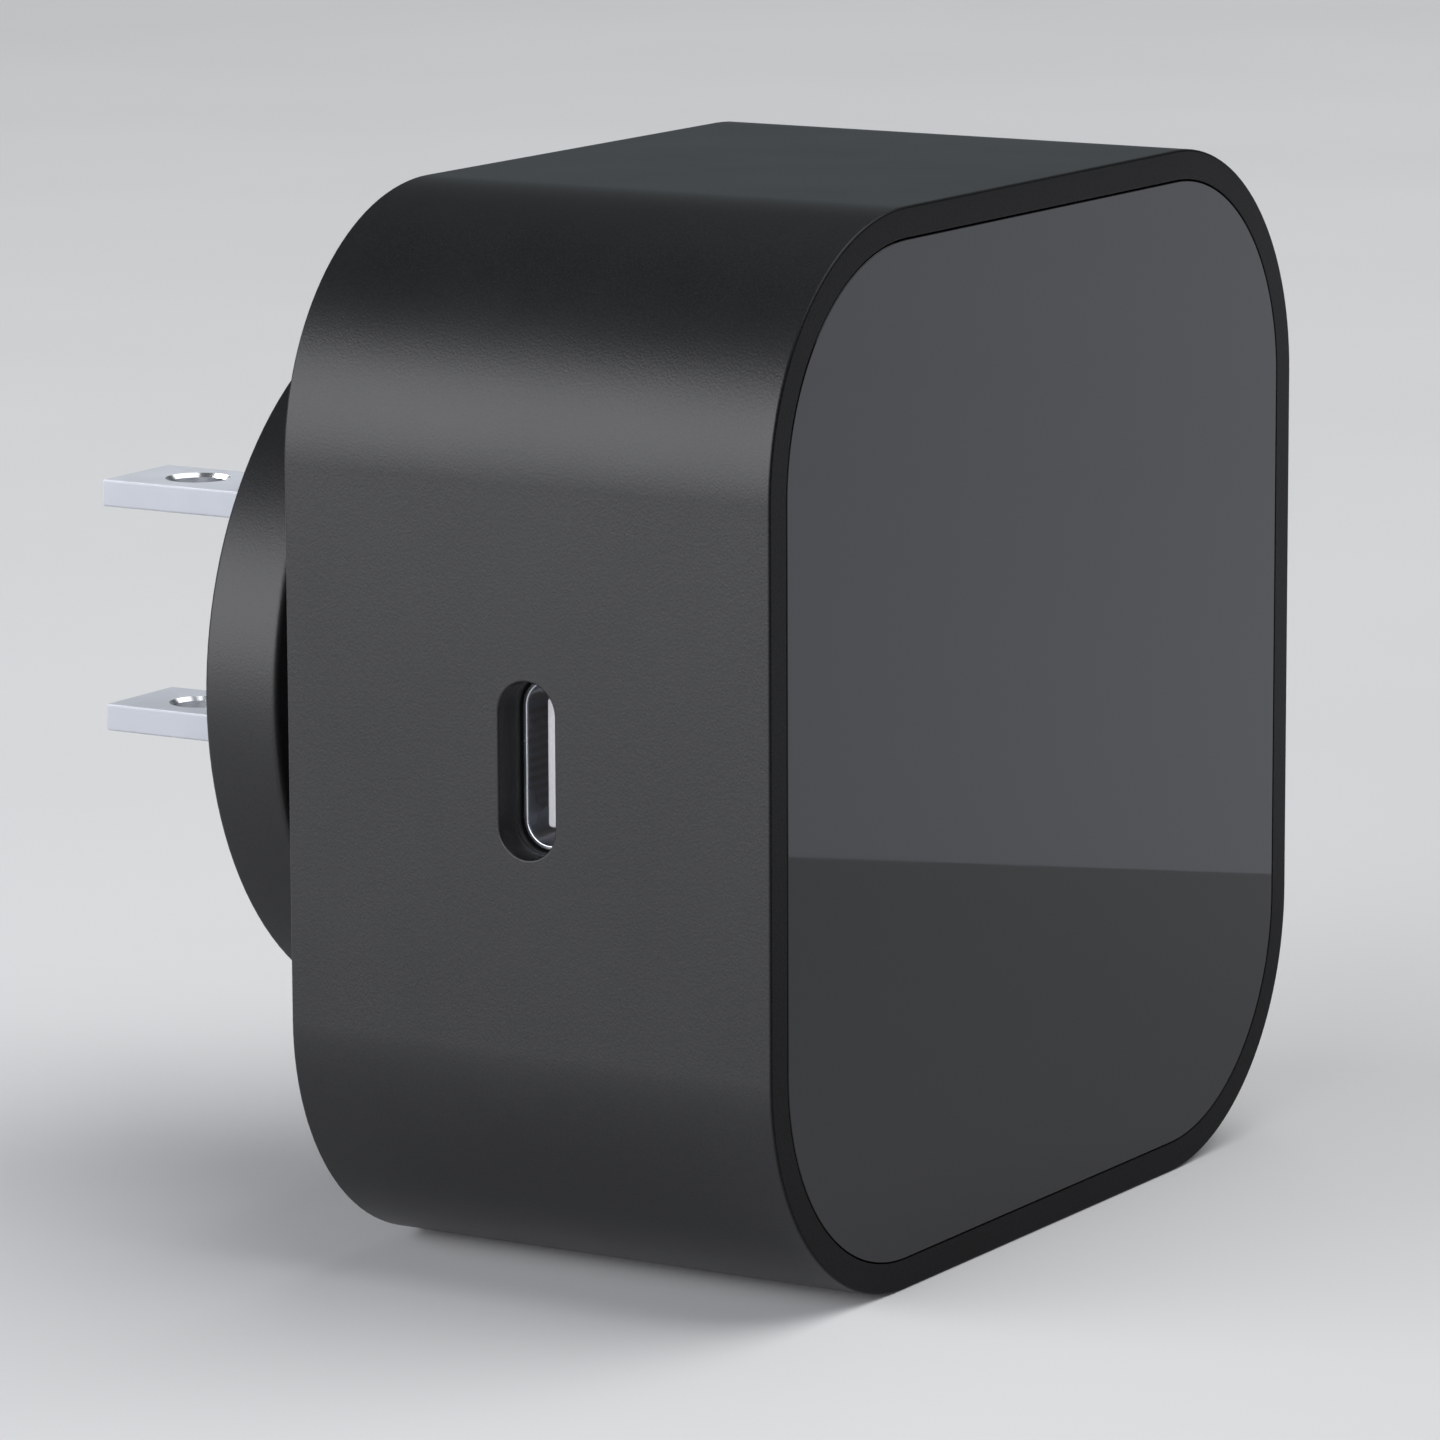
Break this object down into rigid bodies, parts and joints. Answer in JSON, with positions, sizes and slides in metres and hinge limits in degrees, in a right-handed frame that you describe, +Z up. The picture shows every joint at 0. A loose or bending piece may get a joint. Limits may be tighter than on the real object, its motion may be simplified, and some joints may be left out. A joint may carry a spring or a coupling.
{
  "type": "usb wall charger",
  "caption": "Square USB-C wall charger with rounded corners, a flush gloss front panel, a port in its side, and a swivelling round plug disc with flat blades.",
  "frame": {"origin": "centre of the plug disc's wall face", "axes": "+Y into the wall along the plug blades, +Z up with the charger on its bottom face, +X to the right as seen from the front, so the port is on the -X side"},
  "size_m": [0.056, 0.0581, 0.056],
  "materials": {
    "housing_plastic": "fine-textured satin",
    "panel_gloss": "polished",
    "inner_plastic": "moulded",
    "disc_plastic": "fine-textured satin",
    "blade_nickel": "nickel plated",
    "steel_bright": "bright",
    "port_steel": "polished",
    "contact_brass": "bright",
    "contact_gold": "gold plated",
    "tongue_plastic": "moulded",
    "nylon_natural": "moulded",
    "board_laminate": "solder mask",
    "adhesive_tape": "foam tape",
    "insulation_film": "film",
    "aluminium_plate": "mill finish",
    "silicone_pad": "soft",
    "fuse_case": "moulded",
    "disc_coating": "dipped epoxy",
    "film_case": "moulded",
    "ferrite": "ground ferrite",
    "copper_wire": "enamelled",
    "chip_plastic": "moulded epoxy",
    "can_sleeve": "shrink sleeve",
    "can_aluminium": "bright",
    "bobbin_plastic": "phenolic",
    "winding_tape": "film tape",
    "tinned_pins": "tinned",
    "chip_ceramic": "fired"
  },
  "bodies": {
    "housing": {"housing_sleeve": "housing_plastic", "front_panel": "panel_gloss", "panel_adhesive": "adhesive_tape", "front_frame": "inner_plastic", "rear_cover": "inner_plastic", "housing_screws": "steel_bright", "port_collar": "inner_plastic", "insulation_sheet": "insulation_film", "heat_spreader": "aluminium_plate", "thermal_pad": "silicone_pad", "thrust_washer": "steel_bright", "detent_spring": "steel_bright", "ring_contact_finger": "contact_brass", "centre_contact_finger": "contact_brass", "main_board": "board_laminate", "usb_c_shell": "port_steel", "usb_c_tongue": "tongue_plastic", "usb_c_contacts": "contact_gold", "fuse": "fuse_case", "varistor": "disc_coating", "x_capacitor": "film_case", "choke_core": "ferrite", "choke_windings": "copper_wire", "bridge_rectifier": "chip_plastic", "bulk_capacitors": "can_sleeve", "transformer_core": "ferrite", "transformer_bobbin": "bobbin_plastic", "transformer_winding": "copper_wire", "transformer_tape": "winding_tape", "transformer_pins": "tinned_pins", "power_transistor": "chip_plastic", "controller_chip": "chip_plastic", "optocoupler": "chip_plastic", "y_capacitor": "disc_coating", "isolation_barrier": "nylon_natural", "sync_rectifier": "chip_plastic", "output_capacitors": "can_aluminium", "power_delivery_chip": "chip_plastic", "chip_resistors": "chip_plastic", "chip_capacitors": "chip_ceramic"},
    "plug_head": {"plug_disc": "disc_plastic", "swivel_hub": "inner_plastic", "hub_screws": "steel_bright", "blade_upper": "blade_nickel", "blade_lower": "blade_nickel", "contact_carrier": "nylon_natural", "ring_contact": "contact_brass", "centre_contact": "contact_brass", "retaining_ring": "steel_bright", "wave_washer": "steel_bright"}
  },
  "joints": [
    {"name": "plug_swivel", "type": "hinge", "parent": "housing", "child": "plug_head", "pos_m": [0, 0, 0], "axis": [0, 1, 0], "range_deg": [-90, 90]}
  ]
}
